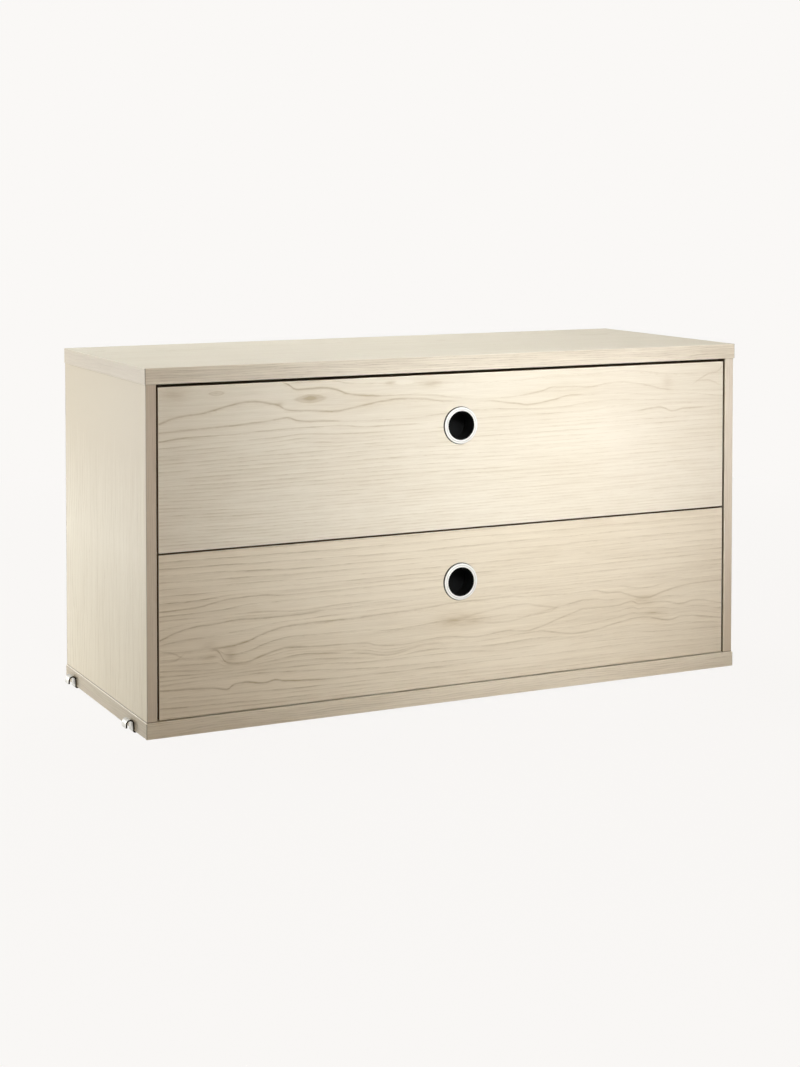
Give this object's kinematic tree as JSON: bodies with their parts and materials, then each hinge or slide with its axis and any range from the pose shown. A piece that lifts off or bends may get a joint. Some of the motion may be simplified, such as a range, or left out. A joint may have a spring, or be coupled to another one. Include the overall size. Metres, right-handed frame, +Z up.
{
  "type": "chest of drawers",
  "caption": "Low wide wooden chest with inset drawers one above the other, a round ring pull in each front, and strip hooks underneath that hang over ladder rungs.",
  "frame": {"origin": "under the middle of the chest, level with the undersides of its four hook feet", "axes": "+X to the right along the width, +Y to the back, +Z up"},
  "size_m": [0.79, 0.3009, 0.4058],
  "materials": {
    "ash_veneer": "satin",
    "back_board": "matt",
    "birch_box": "satin",
    "beech_dowel": "matt",
    "white_plastic": "gloss",
    "black_plastic": "matt",
    "nickel_plate": "bright",
    "zinc_rail": "satin",
    "zinc_screw": "bright",
    "ball_cage": "matt",
    "ball_steel": "polished"
  },
  "bodies": {
    "carcass": {"top_panel": "ash_veneer", "bottom_panel": "ash_veneer", "left_side_panel": "ash_veneer", "right_side_panel": "ash_veneer", "back_panel": "back_board", "carcass_dowels": "beech_dowel", "front_left_hook": "nickel_plate", "rear_left_hook": "nickel_plate", "front_right_hook": "nickel_plate", "rear_right_hook": "nickel_plate", "hook_screws": "nickel_plate", "outer_rail_screws": "zinc_screw", "bottom_left_outer_rail": "zinc_rail", "bottom_right_outer_rail": "zinc_rail", "top_left_outer_rail": "zinc_rail", "top_right_outer_rail": "zinc_rail"},
    "bottom_drawer": {"bottom_drawer_front": "ash_veneer", "bottom_drawer_left_side": "birch_box", "bottom_drawer_right_side": "birch_box", "bottom_drawer_back": "birch_box", "bottom_drawer_bottom": "birch_box", "bottom_drawer_dowels": "beech_dowel", "bottom_pull_ring": "white_plastic", "bottom_finger_cup": "black_plastic", "bottom_inner_rail_screws": "zinc_screw", "bottom_left_inner_rail": "zinc_rail", "bottom_right_inner_rail": "zinc_rail"},
    "bottom_left_middle_rail": {"bottom_left_middle_rail": "zinc_rail"},
    "bottom_left_outer_cage": {"bottom_left_outer_cage": "ball_cage", "bottom_left_outer_balls": "ball_steel"},
    "bottom_left_inner_cage": {"bottom_left_inner_cage": "ball_cage", "bottom_left_inner_balls": "ball_steel"},
    "bottom_right_middle_rail": {"bottom_right_middle_rail": "zinc_rail"},
    "bottom_right_outer_cage": {"bottom_right_outer_cage": "ball_cage", "bottom_right_outer_balls": "ball_steel"},
    "bottom_right_inner_cage": {"bottom_right_inner_cage": "ball_cage", "bottom_right_inner_balls": "ball_steel"},
    "top_drawer": {"top_drawer_front": "ash_veneer", "top_drawer_left_side": "birch_box", "top_drawer_right_side": "birch_box", "top_drawer_back": "birch_box", "top_drawer_bottom": "birch_box", "top_drawer_dowels": "beech_dowel", "top_pull_ring": "white_plastic", "top_finger_cup": "black_plastic", "top_inner_rail_screws": "zinc_screw", "top_left_inner_rail": "zinc_rail", "top_right_inner_rail": "zinc_rail"},
    "top_left_middle_rail": {"top_left_middle_rail": "zinc_rail"},
    "top_left_outer_cage": {"top_left_outer_cage": "ball_cage", "top_left_outer_balls": "ball_steel"},
    "top_left_inner_cage": {"top_left_inner_cage": "ball_cage", "top_left_inner_balls": "ball_steel"},
    "top_right_middle_rail": {"top_right_middle_rail": "zinc_rail"},
    "top_right_outer_cage": {"top_right_outer_cage": "ball_cage", "top_right_outer_balls": "ball_steel"},
    "top_right_inner_cage": {"top_right_inner_cage": "ball_cage", "top_right_inner_balls": "ball_steel"}
  },
  "joints": [
    {"name": "bottom_drawer_slide", "type": "slide", "parent": "carcass", "child": "bottom_drawer", "axis": [0, -1, 0], "range_m": [0, 0.25]},
    {"name": "bottom_left_middle_rail_slide", "type": "slide", "parent": "carcass", "child": "bottom_left_middle_rail", "axis": [0, -1, 0], "range_m": [0, 0.125]},
    {"name": "bottom_left_outer_cage_slide", "type": "slide", "parent": "carcass", "child": "bottom_left_outer_cage", "axis": [0, -1, 0], "range_m": [0, 0.0625]},
    {"name": "bottom_left_inner_cage_slide", "type": "slide", "parent": "bottom_left_middle_rail", "child": "bottom_left_inner_cage", "axis": [0, -1, 0], "range_m": [0, 0.0625]},
    {"name": "bottom_right_middle_rail_slide", "type": "slide", "parent": "carcass", "child": "bottom_right_middle_rail", "axis": [0, -1, 0], "range_m": [0, 0.125]},
    {"name": "bottom_right_outer_cage_slide", "type": "slide", "parent": "carcass", "child": "bottom_right_outer_cage", "axis": [0, -1, 0], "range_m": [0, 0.0625]},
    {"name": "bottom_right_inner_cage_slide", "type": "slide", "parent": "bottom_right_middle_rail", "child": "bottom_right_inner_cage", "axis": [0, -1, 0], "range_m": [0, 0.0625]},
    {"name": "top_drawer_slide", "type": "slide", "parent": "carcass", "child": "top_drawer", "axis": [0, -1, 0], "range_m": [0, 0.25]},
    {"name": "top_left_middle_rail_slide", "type": "slide", "parent": "carcass", "child": "top_left_middle_rail", "axis": [0, -1, 0], "range_m": [0, 0.125]},
    {"name": "top_left_outer_cage_slide", "type": "slide", "parent": "carcass", "child": "top_left_outer_cage", "axis": [0, -1, 0], "range_m": [0, 0.0625]},
    {"name": "top_left_inner_cage_slide", "type": "slide", "parent": "top_left_middle_rail", "child": "top_left_inner_cage", "axis": [0, -1, 0], "range_m": [0, 0.0625]},
    {"name": "top_right_middle_rail_slide", "type": "slide", "parent": "carcass", "child": "top_right_middle_rail", "axis": [0, -1, 0], "range_m": [0, 0.125]},
    {"name": "top_right_outer_cage_slide", "type": "slide", "parent": "carcass", "child": "top_right_outer_cage", "axis": [0, -1, 0], "range_m": [0, 0.0625]},
    {"name": "top_right_inner_cage_slide", "type": "slide", "parent": "top_right_middle_rail", "child": "top_right_inner_cage", "axis": [0, -1, 0], "range_m": [0, 0.0625]}
  ],
  "couplings": [
    {"joint": "bottom_left_middle_rail_slide", "follows": "bottom_drawer_slide", "ratio": 0.5},
    {"joint": "bottom_left_outer_cage_slide", "follows": "bottom_drawer_slide", "ratio": 0.25},
    {"joint": "bottom_left_inner_cage_slide", "follows": "bottom_drawer_slide", "ratio": 0.25},
    {"joint": "bottom_right_middle_rail_slide", "follows": "bottom_drawer_slide", "ratio": 0.5},
    {"joint": "bottom_right_outer_cage_slide", "follows": "bottom_drawer_slide", "ratio": 0.25},
    {"joint": "bottom_right_inner_cage_slide", "follows": "bottom_drawer_slide", "ratio": 0.25},
    {"joint": "top_left_middle_rail_slide", "follows": "top_drawer_slide", "ratio": 0.5},
    {"joint": "top_left_outer_cage_slide", "follows": "top_drawer_slide", "ratio": 0.25},
    {"joint": "top_left_inner_cage_slide", "follows": "top_drawer_slide", "ratio": 0.25},
    {"joint": "top_right_middle_rail_slide", "follows": "top_drawer_slide", "ratio": 0.5},
    {"joint": "top_right_outer_cage_slide", "follows": "top_drawer_slide", "ratio": 0.25},
    {"joint": "top_right_inner_cage_slide", "follows": "top_drawer_slide", "ratio": 0.25}
  ]
}
